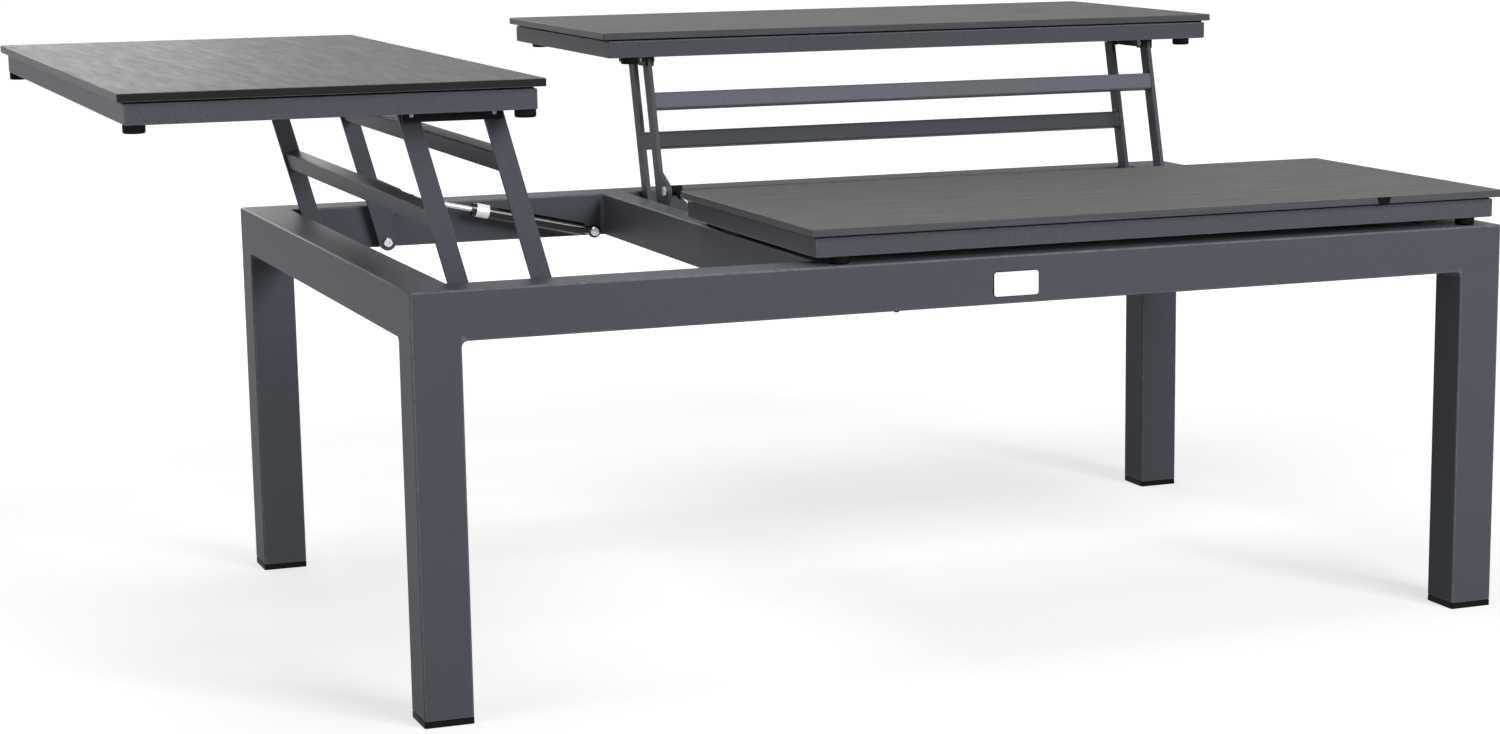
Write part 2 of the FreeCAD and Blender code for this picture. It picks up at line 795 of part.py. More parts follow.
def make_socket(flap):
    # Both pieces are turned with the spring, and the turn to the left swaps no ends.
    mirrored = [turned(piece, Vector(0, 0, 0), along_x, 180) for piece in socket_and_ball(flap)]
    return [centred(flap, with_spring(flap, piece, spring_length(flap))) for piece in mirrored]


def make_ear_nut(flap):
    """The ball stud's thread through the ear, with its nut on the outboard side."""
    inboard = Vector(0, -flap.spring_end, 0)
    pin = Vector(ear_along, depth(flap, flap.spring_end, 0.0), -ear_across)
    thread = cylinder(pin, pin + inboard * arm_thickness, ear_thread_diameter)
    nut_start = pin - inboard * ear_nut_height
    nut = hex_prism(nut_start, ear_nut_diameter, inboard * ear_nut_height)
    return [with_arms(flap, thread.fuse(nut).removeSplitter(), False)]


# All pieces, by node

def make_flap(flap):
    top = {"laminate": make_laminate(flap), "subframe": make_subframe(flap),
           "laminate_pads": make_pads(flap), "pivot_brackets": make_brackets(flap),
           "upper_pivot_bolts": make_upper_bolts(flap), "bumpers": make_bumpers(flap),
           "bumper_studs": make_bumper_studs(flap)}
    made = {piece: [with_top(flap, solid) for solid in solids]
            for piece, solids in top.items()}
    made["inner_arms"] = make_arms(flap, False)
    made["inner_cross_bar"] = make_cross_bar(flap, False)
    made["outer_arms"] = make_arms(flap, True)
    made["outer_cross_bar"] = make_cross_bar(flap, True)
    made["ear_nut"] = make_ear_nut(flap)
    made["gas_cylinder"] = make_cylinder(flap)
    made["gas_rod"] = make_rod(flap)
    made["ball_socket"] = make_socket(flap)
    return {flap.name + "_" + piece: [on_flap(flap, solid) for solid in solids]
            for piece, solids in made.items()}


def make_all():
    parts = {}
    parts.update(make_rails())
    parts.update(make_legs())
    parts["blank_badge_plate"] = make_badge_plate()
    parts.update(make_rail_pivots())
    for flap in flaps:
        parts.update(make_flap(flap))
    return parts


def print_motion():
    """Print the arms' length and turn, and the gas spring's travel, for the joints."""
    for flap in flaps:
        turn = arm_angle(flap, True) - arm_angle(flap, False)
        swing = spring_tilt(flap, True) - spring_tilt(flap, False)
        print(flap.name, "arm length", arm_length(flap), "arm turn", turn)
        print("top travel", tuple(top_travel(flap)), "spring swing", swing, "stroke",
              spring_stroke(flap))


def write_parts(parts):
    os.makedirs("parts", exist_ok=True)
    for name, solids in parts.items():
        shape = solids[0] if len(solids) == 1 else Part.makeCompound(solids)
        shape.exportStep("parts/" + name + ".step")


print_motion()
write_parts(make_all())
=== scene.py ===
import json
import math

import bmesh
import bpy
from mathutils import Matrix, Vector


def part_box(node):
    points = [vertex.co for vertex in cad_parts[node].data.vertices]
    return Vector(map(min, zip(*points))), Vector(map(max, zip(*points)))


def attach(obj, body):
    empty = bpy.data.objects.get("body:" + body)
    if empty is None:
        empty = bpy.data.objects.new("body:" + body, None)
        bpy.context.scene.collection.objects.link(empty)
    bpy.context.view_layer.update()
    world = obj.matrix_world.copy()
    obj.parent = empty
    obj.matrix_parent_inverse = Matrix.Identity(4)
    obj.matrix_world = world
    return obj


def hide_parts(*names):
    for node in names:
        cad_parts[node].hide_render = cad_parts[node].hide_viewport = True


bl_info = {
    "name": "Lounge Table Finish",
    "version": (1, 0, 0),
    "blender": (4, 5, 0),
    "location": "View3D > Sidebar > Lounge Table",
    "description": "Dresses the flip-up lounge table: coated frame, tops, arms and springs",
    "category": "Object",
}

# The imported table, in metres: X to the right, Y to the rear, Z up from the floor
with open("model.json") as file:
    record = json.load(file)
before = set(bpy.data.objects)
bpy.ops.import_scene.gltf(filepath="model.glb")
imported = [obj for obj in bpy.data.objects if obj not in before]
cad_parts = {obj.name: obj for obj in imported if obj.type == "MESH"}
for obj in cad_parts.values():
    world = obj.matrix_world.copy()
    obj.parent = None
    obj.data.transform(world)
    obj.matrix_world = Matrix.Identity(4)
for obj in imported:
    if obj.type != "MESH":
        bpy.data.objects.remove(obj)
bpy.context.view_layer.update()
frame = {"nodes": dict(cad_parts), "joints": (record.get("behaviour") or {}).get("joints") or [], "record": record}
FLAPS = ("left", "rear", "front")
LEGS = ("front_left_leg", "front_right_leg", "rear_left_leg", "rear_right_leg")
RAILS = ("front_rail", "rear_rail", "left_rail", "right_rail", "cross_rail")

JOINTS = {joint["name"]: joint for joint in frame["joints"]}

# Small details of the front: a tab in the front board's edge and a drip of weld
TAB_MIDDLE = 0.4605
TAB_TAPER = 0.68
DRIP_PLACE = -0.106
DRIP_SHAPE = (1.0, 0.8, 0.6)

# Imported nodes that wear another finish than that of their material slot. The rear inner cross bar wears a
# lighter copy of the coat, which is a painted sheen.
OTHER_FINISHES = {"rear_inner_cross_bar": "sheen_painted_coat",
                  "left_upper_pivot_bolts": "dull_steel",
                  "rear_upper_pivot_bolts": "dull_steel",
                  "front_upper_pivot_bolts": "dull_steel"}

# Tolerances in metres and radians. An edge with a signed angle under HOLLOW_ANGLE is an inner
# corner, and a face looks along an axis where its normal has more than LOOKS_ALONG there.
MERGED = 1e-6
SAME_HEIGHT = 1e-5
SHORT_EDGE = 1e-4
FLAT_ANGLE = 0.01
HOLLOW_ANGLE = -1.0
LOOKS_ALONG = 0.5
Y_AXIS, Z_AXIS = 1, 2

# Soft lamps round the table: place, side in metres and power in watts
LAMPS = {"left_lamp": ((-1.9, -0.9, 0.8), 0.9, 6.5),
         "right_lamp": ((1.6, -3.1, 3.2), 0.5, 25.0),
         "front_lamp": ((1.2, -3.8, 1.95), 1.8, 132.0),
         "rear_lamp": ((0.6, 2.6, 3.8), 2.2, 20.0),
         "low_rear_lamp": ((-0.65, 3.6, 1.4), 1.4, 29.0),
         "top_lamp": ((-1.2, 0.2, 4.8), 2.2, 95.0)}
LAMP_TARGET = (0.0, 0.0, 0.4)
WORLD_LIGHT = 0.08
FLOOR_REACH = 30.0

# How white the floor looks, from the distance where that starts to the one where it is full
FLOOR_WHITE_NEAR, FLOOR_WHITE_FAR = 0.67, 1.0
WHITE_STARTS, WHITE_IS_FULL = 1.2, 3.2

# The camera, solved from the frame's edges in a picture of 1500 x 734: lengths in its pixels,
# turns in radians, place in metres
PICTURE_WIDTH, PICTURE_HEIGHT = 1500, 734
FOCAL_LENGTH, MIDDLE_X, MIDDLE_Y = 3120.8, 870.1, 447.9
CAMERA_YAW, CAMERA_PITCH, CAMERA_ROLL = 0.3931, 0.1908, -0.0083
CAMERA_PLACE = (-1.3300, -3.2692, 0.8407)
SENSOR_WIDTH = 36.0


def length(name, description, default):
    return bpy.props.FloatProperty(name=name, description=description, default=default,
                                   min=0.0, subtype="DISTANCE", unit="LENGTH")


def colour(name, description, default):
    return bpy.props.FloatVectorProperty(name=name, description=description, size=3,
                                         default=default, min=0.0, max=1.0, subtype="COLOR")


class TableSizes(bpy.types.PropertyGroup):
    tube_edge: length("Tube edge", "Radius along the edges of the frame's tubes", 0.002)
    weld_cove: length("Weld cove", "Radius in the corner between a rail and a leg", 0.006)
    inner_cove: length("Inner cove", "Radius in the corners where two rails meet", 0.004)
    board_arris: length("Board arris", "Eased edge around a laminate board", 0.0007)
    board_corner: length("Board corner", "Radius of a laminate board's corners", 0.0015)
    subframe_edge: length("Subframe edge", "Radius along the tubes under a top", 0.0014)
    plate_arris: length("Plate arris", "Eased edge of the arms and brackets", 0.0005)
    bar_weld: length("Bar weld", "Size of the bead round the end of a cross bar", 0.0045)
    bar_corner: length("Bar corner", "Radius along the edges of a cross bar", 0.0025)
    tab_width: length("Tab width", "Width of the black tab in the front board's edge", 0.0175)
    plate_corner: length("Plate corner", "Radius of the bare plate's corners", 0.003)
    # A thin dark sheet behind the plate whose rim shows round it: a painted shadow line at the plate's edge
    shadow_outline_edge: length("Gasket edge", "How far the dark gasket shows round the plate", 0.0007)
    shadow_outline_thickness: length("Gasket thickness", "Thickness of that gasket", 0.0004)
    drip: length("Weld drip", "Radius of the drip of weld under the front rail", 0.0035)
    band_length: length("Band length", "Length of the bare band on a gas spring", 0.0155)
    band_thickness: length("Band thickness", "Thickness of that band", 0.0002)
    band_setback: length("Band setback", "From the end of the cylinder to that band", 0.0045)
    band_measure: length("Band measure", "End of the cylinder whose radius the band takes", 0.03)


class TableColours(bpy.types.PropertyGroup):
    coat: colour("Coat", "Anthracite powder coat on frame, tubes and arms", (0.082, 0.088, 0.104))
    # Lighter colour on eased edges: partly a thin coat, partly a painted highlight
    coat_edge_wear_and_highlight: colour("Coat edge", "The coat where it is thin over an edge", (0.15, 0.16, 0.18))
    board: colour("Board", "Middle tone of the laminate's face", (0.076, 0.071, 0.0685))
    board_dark: colour("Board streak", "Dark streaks in the laminate", (0.051, 0.0475, 0.047))
    board_light: colour("Board fleck", "Light streaks in the laminate", (0.112, 0.105, 0.100))
    # The sawn edge has two copies of its colour: the dark one below is painted shade on the left board's edges
    # that face away from the left, and the light one after it is painted light on the other boards' edges and the
    # left board's left side
    core: colour("Board edge", "The laminate's sawn edge", (0.0130, 0.0135, 0.0155))
    painted_lit_core: colour("Light board edge", "The sawn edge where it meets the light",
                       (0.076, 0.080, 0.090))
    black_coat: colour("Bracket coat", "Satin black coat on the brackets", (0.017, 0.0175, 0.021))
    cylinder: colour("Cylinder", "Gloss black coat of the gas springs", (0.002, 0.002, 0.0022))
    steel: colour("Bright steel", "Plated bolts and rods", (0.50, 0.51, 0.53))
    dull_steel: colour("Dull steel", "Bolts in the brackets, in a dull dark plate",
                       (0.17, 0.17, 0.18))
    plate: colour("Plate", "Blank satin aluminium plate", (0.80, 0.80, 0.81))
    rubber: colour("Rubber", "Bumpers and pads", (0.003, 0.003, 0.0036))
    plastic: colour("Plastic", "Foot caps and ball sockets", (0.007, 0.007, 0.0078))
    floor: colour("Floor", "Studio floor", (0.42, 0.42, 0.425))


# Materials, built from nodes on Object coordinates

def new_material(name):
    material = bpy.data.materials.new(name)
    material.use_nodes = True
    return material, material.node_tree, material.node_tree.nodes["Principled BSDF"]


def add_node(tree, kind, **settings):
    node = tree.nodes.new(kind)
    for key, value in settings.items():
        setattr(node, key, value)
    return node


def object_place(tree, stretch=(1.0, 1.0, 1.0)):
    place = add_node(tree, "ShaderNodeTexCoord")
    mapping = add_node(tree, "ShaderNodeMapping")
    mapping.inputs["Scale"].default_value = stretch
    tree.links.new(place.outputs["Object"], mapping.inputs["Vector"])
    return mapping.outputs["Vector"]


def noise(tree, place, scale, detail=3.0, roughness=0.5):
    node = add_node(tree, "ShaderNodeTexNoise")
    node.inputs["Scale"].default_value = scale
    node.inputs["Detail"].default_value = detail
    node.inputs["Roughness"].default_value = roughness
    tree.links.new(place, node.inputs["Vector"])
    return node.outputs["Fac"]


def ramp(tree, value, stops):
    """Turn a value into a colour, through (position, colour) stops."""
    node = add_node(tree, "ShaderNodeValToRGB")
    elements = node.color_ramp.elements
    while len(elements) < len(stops):
        elements.new(0.5)
    for element, (position, shade) in zip(elements, stops):
        element.position = position
        element.color = (*shade, 1.0)
    tree.links.new(value, node.inputs["Fac"])
    return node.outputs["Color"]


def spread(tree, value, low, high, start=0.3, stop=0.7):
    node = add_node(tree, "ShaderNodeMapRange")
    for key, number in (("From Min", start), ("From Max", stop),
                        ("To Min", low), ("To Max", high)):
        node.inputs[key].default_value = number
    tree.links.new(value, node.inputs["Value"])
    return node.outputs["Result"]


def mix(tree, factor, first, second):
    """Mix two colours: the node's colour sockets are its inputs 6 and 7 and its output 2."""
    node = add_node(tree, "ShaderNodeMix", data_type="RGBA")
    if isinstance(factor, float):
        node.inputs["Factor"].default_value = factor
    else:
        tree.links.new(factor, node.inputs["Factor"])
    for socket, shade in ((node.inputs[6], first), (node.inputs[7], second)):
        if isinstance(shade, tuple):
            socket.default_value = (*shade, 1.0)
        else:
            tree.links.new(shade, socket)
    return node.outputs[2]


def times(tree, first, second):
    node = add_node(tree, "ShaderNodeMath", operation="MULTIPLY")
    tree.links.new(first, node.inputs[0])
    tree.links.new(second, node.inputs[1])
    return node.outputs[0]


def bump(tree, height, depth, before=None):
    node = add_node(tree, "ShaderNodeBump")
    node.inputs["Distance"].default_value = depth
    tree.links.new(height, node.inputs["Height"])
    if before is not None:
        tree.links.new(before, node.inputs["Normal"])
    return node.outputs["Normal"]


def tone(shade, share):
    return tuple(min(1.0, channel * share) for channel in shade)


def edge_wear_and_highlight(tree, place):
    """Where the piece's own attribute marks an eased edge, broken up by noise. The lighter colour mixed in there
    is partly wear and partly a painted highlight.
    """
    marked = add_node(tree, "ShaderNodeAttribute", attribute_name="eased")
    patches = spread(tree, noise(tree, place, scale=160.0, detail=4.0, roughness=0.6),
                     low=0.35, high=1.0, start=0.35, stop=0.65)
    return times(tree, marked.outputs["Fac"], patches)


def powder_coat(name, shade, edge_wear_highlight_tone, roughness=0.42, gloss=0.05):
    """A fine-textured coat: an even tone with a fine grain, orange peel and grit, lighter on eased edges as thin
    coat and a painted highlight.
    """
    material, tree, shader = new_material(name)
    place = object_place(tree)
    speckle = noise(tree, place, scale=820.0, detail=2.0, roughness=0.6)
    mottle = ramp(tree, noise(tree, place, scale=24.0, detail=2.0),
                  [(0.3, tone(shade, 0.97)), (0.7, tone(shade, 1.03))])
    grain = ramp(tree, speckle, [(0.34, tone(shade, 0.74)), (0.66, tone(shade, 1.28))])
    face = mix(tree, 0.6, mottle, grain)
    tree.links.new(mix(tree, edge_wear_and_highlight(tree, place), face, tuple(edge_wear_highlight_tone)),
                   shader.inputs["Base Color"])
    tree.links.new(spread(tree, speckle, low=roughness - 0.03, high=roughness + 0.04),
                   shader.inputs["Roughness"])
    peel = bump(tree, speckle, depth=0.00003)
    grit = noise(tree, place, scale=2400.0, detail=1.0)
    tree.links.new(bump(tree, grit, depth=0.00003, before=peel), shader.inputs["Normal"])
    shader.inputs["Specular IOR Level"].default_value = gloss
    return material


def laminate_face(name, dark, middle, light, across_y):
    """A compact laminate: soft patches and streaks along the grain, finely brushed.

    The grain runs along X, with across_y, or along Y.
    """
    material, tree, shader = new_material(name)

    def grain(along, across, detail, roughness):
        through = 60.0
        stretch = (along, across, through) if across_y else (across, along, through)
        return noise(tree, object_place(tree, stretch), scale=1.0, detail=detail,
                     roughness=roughness)

    patches = grain(along=12.0, across=120.0, detail=5.0, roughness=0.66)
    clouds = grain(along=2.6, across=7.0, detail=3.0, roughness=0.5)
    fibres = grain(along=16.0, across=400.0, detail=3.0, roughness=0.6)
    face = ramp(tree, patches, [(0.33, dark), (0.50, middle), (0.69, light)])
    cool = (middle[0] * 0.93, middle[1] * 0.97, middle[2] * 1.07)
    cloudy = ramp(tree, clouds, [(0.32, tone(cool, 0.78)), (0.68, tone(middle, 1.25))])
    face = mix(tree, 0.38, face, cloudy)
    fibrous = ramp(tree, fibres, [(0.34, tone(dark, 0.75)), (0.5, tuple(middle)),
                                  (0.68, tone(light, 1.1))])
    face = mix(tree, 0.28, face, fibrous)
    # Eased arrises are lighter: a painted highlight line along the board's edges
    tree.links.new(mix(tree, edge_wear_and_highlight(tree, object_place(tree)), face, tone(light, 1.5)),
                   shader.inputs["Base Color"])
    tree.links.new(spread(tree, patches, low=0.64, high=0.54), shader.inputs["Roughness"])
    shader.inputs["Specular IOR Level"].default_value = 0.14
    soft = bump(tree, fibres, depth=0.00004)
    pores = noise(tree, object_place(tree), scale=1500.0, detail=2.0)
    tree.links.new(bump(tree, pores, depth=0.00003, before=soft), shader.inputs["Normal"])
    return material


def laminate_core(name, shade, edge_wear_highlight_tone):
    """The sawn edge of the laminate: thin layers that run around the board, lighter on its eased arrises as a
    painted highlight.
    """
    material, tree, shader = new_material(name)
    place = object_place(tree)
    layers = noise(tree, object_place(tree, (12.0, 12.0, 2600.0)), scale=1.0, detail=2.0)
    face = ramp(tree, layers, [(0.35, tone(shade, 0.75)), (0.65, tone(shade, 1.3))])
    tree.links.new(mix(tree, edge_wear_and_highlight(tree, place), face, tuple(edge_wear_highlight_tone)),
                   shader.inputs["Base Color"])
    tree.links.new(spread(tree, layers, low=0.36, high=0.50), shader.inputs["Roughness"])
    shader.inputs["Specular IOR Level"].default_value = 0.08
    tree.links.new(bump(tree, layers, depth=0.00005), shader.inputs["Normal"])
    return material


def bright_plating(name, shade):
    """Bright plate with fine turning marks and a slight cloudiness."""
    material, tree, shader = new_material(name)
    place = object_place(tree)
    cloud = noise(tree, place, scale=260.0, detail=3.0)
    tree.links.new(ramp(tree, cloud, [(0.3, tone(shade, 0.9)), (0.7, tone(shade, 1.08))]),
                   shader.inputs["Base Color"])
    shader.inputs["Metallic"].default_value = 1.0
    tree.links.new(spread(tree, cloud, low=0.16, high=0.28), shader.inputs["Roughness"])
    marks = noise(tree, place, scale=3500.0, detail=1.0)
    tree.links.new(bump(tree, marks, depth=0.00001), shader.inputs["Normal"])
    return material


def satin_plate(name, shade):
    """A satin aluminium plate, brushed along its length."""
    material, tree, shader = new_material(name)
    brushed = noise(tree, object_place(tree, (30.0, 900.0, 2400.0)),
                    scale=1.0, detail=3.0, roughness=0.6)
    tree.links.new(ramp(tree, brushed, [(0.3, tone(shade, 0.95)), (0.7, tone(shade, 1.05))]),
                   shader.inputs["Base Color"])
    shader.inputs["Metallic"].default_value = 0.35
    tree.links.new(spread(tree, brushed, low=0.30, high=0.46), shader.inputs["Roughness"])
    tree.links.new(bump(tree, brushed, depth=0.00002), shader.inputs["Normal"])
    return material


def gloss_coat(name, shade):
    """A smooth gloss coat over steel, with a faint waviness and dust."""
    material, tree, shader = new_material(name)
    place = object_place(tree)
    dust = noise(tree, place, scale=700.0, detail=4.0, roughness=0.7)
    tree.links.new(ramp(tree, dust, [(0.45, shade), (0.75, tone(shade, 2.2))]),
                   shader.inputs["Base Color"])
    tree.links.new(spread(tree, dust, low=0.05, high=0.09), shader.inputs["Roughness"])
    shader.inputs["Specular IOR Level"].default_value = 0.3
    waves = noise(tree, place, scale=40.0, detail=1.0)
    tree.links.new(bump(tree, waves, depth=0.00001), shader.inputs["Normal"])
    return material


def moulded(name, shade, roughness, grain, depth):
    """Moulded rubber or plastic, with a spark-eroded grain."""
    material, tree, shader = new_material(name)
    place = object_place(tree)
    cloud = noise(tree, place, scale=45.0, detail=4.0)
    tree.links.new(ramp(tree, cloud, [(0.3, tone(shade, 0.8)), (0.7, tone(shade, 1.35))]),
                   shader.inputs["Base Color"])
    tree.links.new(spread(tree, cloud, low=roughness - 0.06, high=roughness + 0.06),
                   shader.inputs["Roughness"])
    shader.inputs["Specular IOR Level"].default_value = 0.06
    sparks = noise(tree, place, scale=grain, detail=2.0)
    tree.links.new(bump(tree, sparks, depth), shader.inputs["Normal"])
    return material


FINISHES = {}


def finish(slot):
    """The material of a material slot of the table, made once."""
    if slot not in FINISHES:
        shades = bpy.context.scene.table_colours
        makers = {
            "anthracite_coat": lambda: powder_coat("anthracite_coat", shades.coat,
                                                   shades.coat_edge_wear_and_highlight),
            "dark_laminate": lambda: laminate_face(
                "dark_laminate", shades.board_dark, shades.board, shades.board_light,
                across_y=True),
            "dark_laminate_turned": lambda: laminate_face(
                "dark_laminate_turned", shades.board_dark, shades.board, shades.board_light,
                across_y=False),
            # The dark copy of the sawn edge is painted shade, the next one a painted light copy
            "laminate_core": lambda: laminate_core("laminate_core", shades.core,
                                                   shades.board_light),
            "painted_lit_core": lambda: laminate_core("painted_lit_core", shades.painted_lit_core,
                                                shades.board_light),
            "black_coat": lambda: powder_coat("black_coat", shades.black_coat,
                                              tone(shades.black_coat, 2.5)),
            "black_gloss_coat": lambda: gloss_coat("black_gloss_coat", shades.cylinder),
            "bright_steel": lambda: bright_plating("bright_steel", shades.steel),
            # A lighter copy of the anthracite coat: a painted sheen on the rear inner cross bar
            "sheen_painted_coat": lambda: powder_coat("sheen_painted_coat", tone(shades.coat, 1.65),
                                              shades.coat_edge_wear_and_highlight),
            "dull_steel": lambda: bright_plating("dull_steel", shades.dull_steel),
            "satin_aluminium": lambda: satin_plate("satin_aluminium", shades.plate),
            "black_rubber": lambda: moulded("black_rubber", shades.rubber, roughness=0.62,
                                            grain=1400.0, depth=0.00006),
            "black_plastic": lambda: moulded("black_plastic", shades.plastic, roughness=0.48,
                                             grain=1900.0, depth=0.00005)}
        FINISHES[slot] = makers[slot]()
    return FINISHES[slot]


# Mesh helpers

def block(bm, low, high):
    """A box between two corners."""
    made = bmesh.ops.create_cube(bm, size=1.0)["verts"]
    bmesh.ops.scale(bm, vec=high - low, verts=made)
    bmesh.ops.translate(bm, vec=(low + high) / 2, verts=made)
    return made


def sharp_edges(bm, least=50.0):
    limit = math.radians(least)
    return [edge for edge in bm.edges if edge.is_manifold and edge.calc_face_angle() > limit]


def edges_along(bm, axis, least):
    """The edges that run along an axis for more than the least length."""
    return [edge for edge in bm.edges
            if abs(edge.verts[0].co[axis] - edge.verts[1].co[axis]) > least]


def round_off(bm, edges, width, segments, clamp=True):
    """Round these edges and give the new faces."""
    return bmesh.ops.bevel(bm, geom=edges, offset=width, offset_type="OFFSET",
                           segments=segments, profile=0.5, affect="EDGES",
                           clamp_overlap=clamp, material=-1)["faces"]


def ease(bm, edges, width, segments=3, clamp=True):
    """Round these edges and mark the new faces as eased."""
    layer = bm.faces.layers.float.get("eased") or bm.faces.layers.float.new("eased")
    for face in round_off(bm, edges, width, segments, clamp):
        face[layer] = 1.0


def tube_ring(bm, columns, rows, base, top):
    """Tubes round one bay or two side by side: a grid less its bays, pushed down to its base."""
    across, along = len(columns) - 1, len(rows) - 1
    made = bmesh.ops.create_grid(bm, x_segments=across, y_segments=along, size=1.0)["verts"]
    for vertex in made:
        column = round((vertex.co.x + 1) / 2 * across)
        row = round((vertex.co.y + 1) / 2 * along)
        vertex.co = Vector((columns[column], rows[row], top))
    bays = []
    for face in bm.faces:
        middle = face.calc_center_median()
        column = sum(1 for edge in columns if edge < middle.x) - 1
        row = sum(1 for edge in rows if edge < middle.y) - 1
        if column % 2 and row % 2:
            bays.append(face)
    bmesh.ops.delete(bm, geom=bays, context="FACES")
    pushed = bmesh.ops.extrude_face_region(bm, geom=bm.faces[:], use_keep_orig=True)
    lowered = [item for item in pushed["geom"] if isinstance(item, bmesh.types.BMVert)]
    bmesh.ops.translate(bm, vec=Vector((0, 0, base - top)), verts=lowered)


def eased_copy(node, width):
    """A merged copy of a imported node, with its flat faces joined and its sharp edges eased."""
    bm = bmesh.new()
    bm.from_mesh(frame["nodes"][node].data)
    bmesh.ops.remove_doubles(bm, verts=bm.verts, dist=MERGED)
    bmesh.ops.dissolve_limit(bm, angle_limit=math.radians(1.0), verts=bm.verts, edges=bm.edges)
    ease(bm, sharp_edges(bm), width, segments=2)
    return bm


def bead_round(size, corner, bead, places):
    """Beads round a bar's ends, each hollowed in from the arm to the bar in five steps."""
    steps = 5
    side, root = bead / 10, bead / 20
    bm = bmesh.new()
    half = Vector((size[0] / 2 + bead, size[1] / 2 + side, 0.0))
    block(bm, -half, half + Vector((0.0, 0.0, root)))
    round_off(bm, edges_along(bm, Z_AXIS, root / 2), corner + bead, steps)
    front = max(bm.faces, key=lambda face: face.calc_center_median().z)
    angles = [math.pi / 2 * step / steps for step in range(steps + 1)]
    for last, angle in zip(angles, angles[1:]):
        bmesh.ops.inset_individual(bm, faces=[front], use_even_offset=True,
                                   thickness=bead * (math.sin(angle) - math.sin(last)),
                                   depth=bead * (math.cos(last) - math.cos(angle)))
    first = bm.verts[:]
    twin = bmesh.ops.duplicate(bm, geom=bm.verts[:] + bm.edges[:] + bm.faces[:])["geom"]
    second = [item for item in twin if isinstance(item, bmesh.types.BMVert)]
    for verts, place in zip((first, second), places):
        bmesh.ops.transform(bm, matrix=place, verts=verts)
    return bm


def soften(bm, limit=40.0, facet_area=4e-5):
    """Shade eased edges and the small facets of round faces smooth, and flat faces flat."""
    layer = bm.faces.layers.float.get("eased")
    for face in bm.faces:
        eased = layer is not None and face[layer] > 0.5
        face.smooth = eased or face.calc_area() < facet_area
    for edge in bm.edges:
        if len(edge.link_faces) == 2:
            first, second = edge.link_faces
            edge.smooth = (edge.calc_face_angle(0.0) < math.radians(limit)
                           and (layer is None or first[layer] == second[layer]))


def add_piece(name, bm, slot, body, replaced=()):
    """Finish a mesh as a piece of the table that moves with a body."""
    bmesh.ops.remove_doubles(bm, verts=bm.verts, dist=MERGED)
    bmesh.ops.recalc_face_normals(bm, faces=bm.faces)
    soften(bm)
    mesh = bpy.data.meshes.new(name)
    bm.to_mesh(mesh)
    bm.free()
    mesh.materials.append(finish(slot))
    piece = bpy.data.objects.new(name, mesh)
    bpy.context.scene.collection.objects.link(piece)
    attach(piece, body)
    if replaced:
        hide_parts(*replaced)
    return piece


def span(node, axis):
    """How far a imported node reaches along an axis."""
    reach = [vertex.co.dot(axis) for vertex in frame["nodes"][node].data.vertices]
    return min(reach), max(reach)


def union_box(nodes):
    boxes = [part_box(node) for node in nodes]
    low = Vector([min(box[0][axis] for box in boxes) for axis in range(3)])
    high = Vector([max(box[1][axis] for box in boxes) for axis in range(3)])
    return low, high


class TableOperator:
    bl_options = {"REGISTER", "UNDO"}


class WeldFrame(TableOperator, bpy.types.Operator):
    """Make the rails and legs one welded and ground frame"""
    bl_idname = "lounge_table.weld_frame"
    bl_label = "Welded frame"

    def execute(self, context):
        sizes = context.scene.table_sizes
        low, high = union_box(RAILS)
        rail_low, rail_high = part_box("front_rail")
        wide = rail_high.y - rail_low.y
        cross_low, cross_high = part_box("cross_rail")
        columns = [low.x, low.x + wide, cross_low.x, cross_high.x, high.x - wide, high.x]
        rows = [low.y, low.y + wide, high.y - wide, high.y]
        bm = bmesh.new()
        tube_ring(bm, columns, rows, low.z, high.z)
        soles = [face for face in bm.faces
                 if abs(face.calc_center_median().z - low.z) < SAME_HEIGHT
                 and abs(face.calc_center_median().x) > columns[4]
                 and abs(face.calc_center_median().y) > rows[2]]
        if len(soles) != len(LEGS):
            raise RuntimeError("The frame should stand on four legs")
        pushed = bmesh.ops.extrude_face_region(bm, geom=soles)
        feet = [item for item in pushed["geom"] if isinstance(item, bmesh.types.BMVert)]
        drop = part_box("front_left_leg")[0].z - low.z
        bmesh.ops.translate(bm, vec=Vector((0, 0, drop)), verts=feet)
        bmesh.ops.delete(bm, geom=soles, context="FACES_ONLY")
        bmesh.ops.recalc_face_normals(bm, faces=bm.faces)
        seams = [edge for edge in bm.edges if edge.calc_face_angle() < FLAT_ANGLE
                 and all(abs(vertex.co.z - low.z) < SAME_HEIGHT for vertex in edge.verts)
                 and not any(abs(face.normal.z) > LOOKS_ALONG for face in edge.link_faces)]
        bmesh.ops.dissolve_edges(bm, edges=seams, use_verts=True)
        under = [edge for edge in sharp_edges(bm)
                 if edge.calc_face_angle_signed() < HOLLOW_ANGLE
                 and all(abs(vertex.co.z - low.z) < SAME_HEIGHT for vertex in edge.verts)]
        ease(bm, under, sizes.weld_cove, segments=5)
        inner = [edge for edge in sharp_edges(bm)
                 if edge.calc_face_angle_signed() < HOLLOW_ANGLE]
        ease(bm, inner, sizes.inner_cove)
        ease(bm, sharp_edges(bm, least=40.0), sizes.tube_edge, clamp=False)
        add_piece("welded_frame", bm, "anthracite_coat", "base", RAILS + LEGS)
        return {"FINISHED"}


